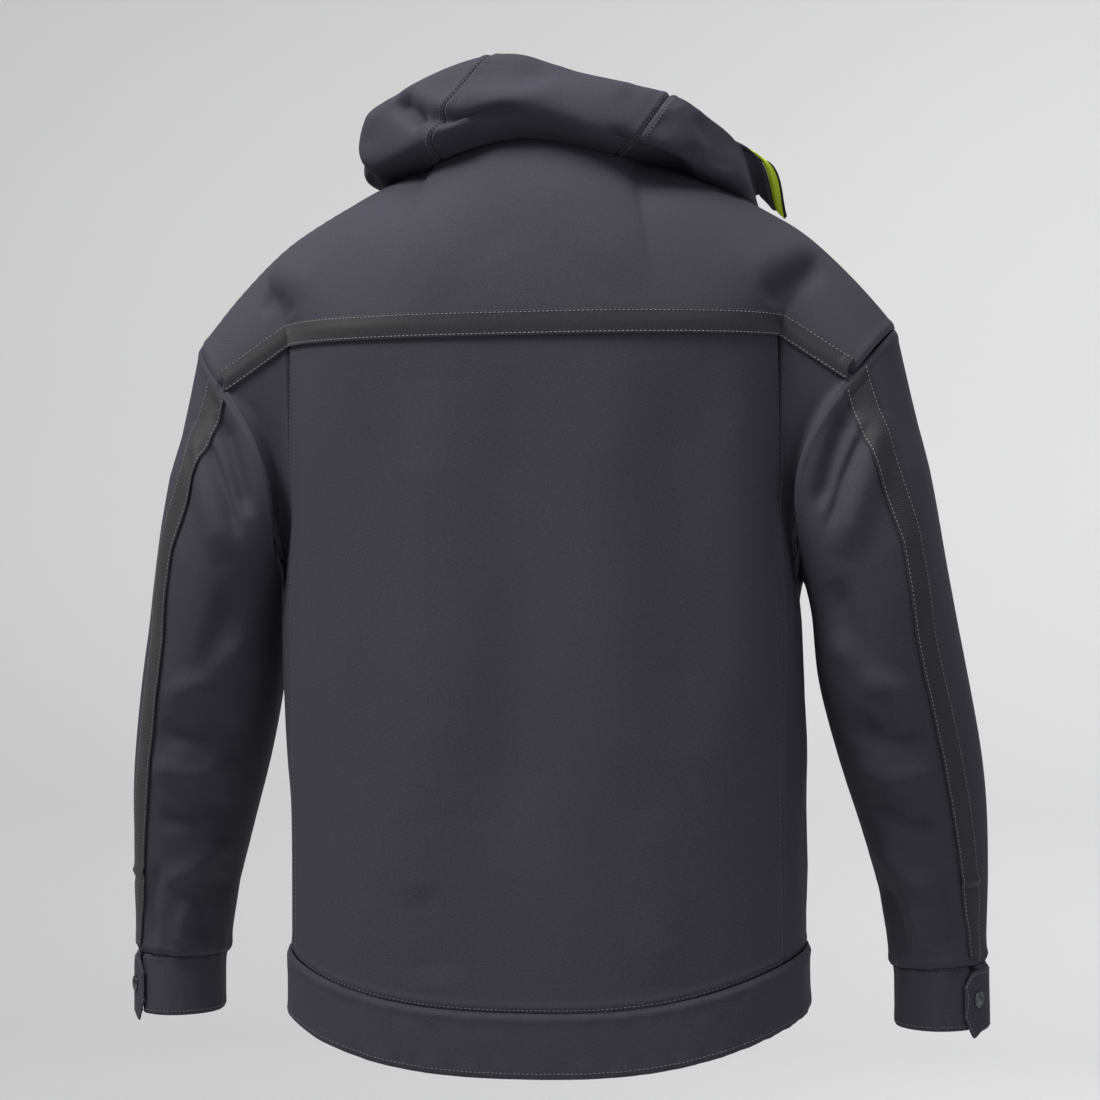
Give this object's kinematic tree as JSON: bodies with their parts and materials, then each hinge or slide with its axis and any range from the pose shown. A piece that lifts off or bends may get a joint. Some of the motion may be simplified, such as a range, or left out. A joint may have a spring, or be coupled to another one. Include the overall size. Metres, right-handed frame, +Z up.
{
  "type": "coat",
  "caption": "Hooded charcoal work coat with a full zip, taped back yoke, snap cuffs and a bright lining, shaped as if worn",
  "frame": {"origin": "middle of the neck opening, level with the back neck seam", "axes": "+X to the wearer's right, +Y out of the front, +Z up towards the hood"},
  "size_m": [0.7002, 0.2587, 0.8024],
  "materials": {
    "shell_cloth": "matte heathered woven shell, bonded",
    "lining_cloth": "brushed knit lining",
    "bright_cloth": "bright yellow-green lining and edging cloth",
    "ribbed_tape": "ribbed black webbing",
    "edge_binding": "black stretch binding",
    "snap_metal": "dark coated pressed steel",
    "zip_plastic": "moulded black teeth on black tape",
    "zip_metal": "dark coated die cast"
  },
  "bodies": {
    "torso": {"back_panel": "shell_cloth", "back_yoke": "shell_cloth", "side_panel_left": "shell_cloth", "side_panel_right": "shell_cloth", "front_yoke_left": "shell_cloth", "front_yoke_right": "shell_cloth", "hem_band_back": "shell_cloth", "back_tape": "ribbed_tape", "neck_band": "shell_cloth", "hanging_loop": "ribbed_tape", "lining_body": "lining_cloth", "lining_back": "bright_cloth"},
    "front_left": {"front_panel_left": "shell_cloth", "neck_front_left": "shell_cloth", "hem_band_front_left": "shell_cloth", "neck_band_front_left": "shell_cloth", "pocket_left": "shell_cloth", "pocket_trim_left": "bright_cloth", "zip_tape_left": "zip_plastic", "zip_teeth_left": "zip_plastic", "zip_top_stop_left": "zip_metal", "front_facing_left": "lining_cloth", "zip_box": "zip_metal"},
    "front_right": {"front_panel_right": "shell_cloth", "neck_front_right": "shell_cloth", "hem_band_front_right": "shell_cloth", "neck_band_front_right": "shell_cloth", "pocket_right": "shell_cloth", "pocket_trim_right": "bright_cloth", "zip_tape_right": "zip_plastic", "zip_teeth_right": "zip_plastic", "zip_top_stop_right": "zip_metal", "front_facing_right": "lining_cloth", "zip_pin": "zip_metal"},
    "zip_slider": {"zip_slider": "zip_metal"},
    "zip_pull": {"zip_pull": "zip_metal"},
    "sleeve_left": {"sleeve_outer_left": "shell_cloth", "sleeve_under_left": "shell_cloth", "sleeve_tape_left": "ribbed_tape", "sleeve_lining_left": "lining_cloth", "cuff_left": "shell_cloth", "snap_stud_left": "snap_metal"},
    "sleeve_right": {"sleeve_outer_right": "shell_cloth", "sleeve_under_right": "shell_cloth", "sleeve_tape_right": "ribbed_tape", "sleeve_lining_right": "lining_cloth", "cuff_right": "shell_cloth", "snap_stud_right": "snap_metal"},
    "cuff_tab_left": {"cuff_tab_left": "shell_cloth", "snap_cap_left": "snap_metal"},
    "cuff_tab_right": {"cuff_tab_right": "shell_cloth", "snap_cap_right": "snap_metal"},
    "hood": {"hood_left": "shell_cloth", "hood_centre": "shell_cloth", "hood_right": "shell_cloth", "hood_trim": "bright_cloth", "hood_binding": "edge_binding"}
  },
  "joints": [
    {"name": "sleeve_left_raise", "type": "hinge", "parent": "torso", "child": "sleeve_left", "pos_m": [-0.28, 0, -0.138], "axis": [0, 1, 0], "range_deg": [0, 60]},
    {"name": "sleeve_right_raise", "type": "hinge", "parent": "torso", "child": "sleeve_right", "pos_m": [0.28, 0, -0.138], "axis": [0, -1, 0], "range_deg": [0, 60]},
    {"name": "hood_lift", "type": "hinge", "parent": "torso", "child": "hood", "pos_m": [0, 0.06, -0.02], "axis": [-1, 0, 0], "range_deg": [0, 40]},
    {"name": "front_left_open", "type": "hinge", "parent": "torso", "child": "front_left", "pos_m": [-0.15, 0.1, -0.4], "axis": [0, 0, 1], "range_deg": [0, 75]},
    {"name": "front_right_open", "type": "hinge", "parent": "torso", "child": "front_right", "pos_m": [0.15, 0.1, -0.4], "axis": [0, 0, -1], "range_deg": [0, 75]},
    {"name": "zip_run", "type": "slide", "parent": "front_left", "child": "zip_slider", "axis": [0, -0.0498, 0.9988], "range_m": [0, 0.56]},
    {"name": "zip_pull_swing", "type": "hinge", "parent": "zip_slider", "child": "zip_pull", "pos_m": [-0.0021, 0.129, -0.6451], "axis": [1, 0, 0], "range_deg": [0, 150]},
    {"name": "cuff_tab_left_open", "type": "hinge", "parent": "sleeve_left", "child": "cuff_tab_left", "pos_m": [-0.3471, 0.0698, -0.665], "axis": [0, 0, -1], "range_deg": [0, 90]},
    {"name": "cuff_tab_right_open", "type": "hinge", "parent": "sleeve_right", "child": "cuff_tab_right", "pos_m": [0.3471, 0.0698, -0.665], "axis": [0, 0, 1], "range_deg": [0, 90]}
  ]
}
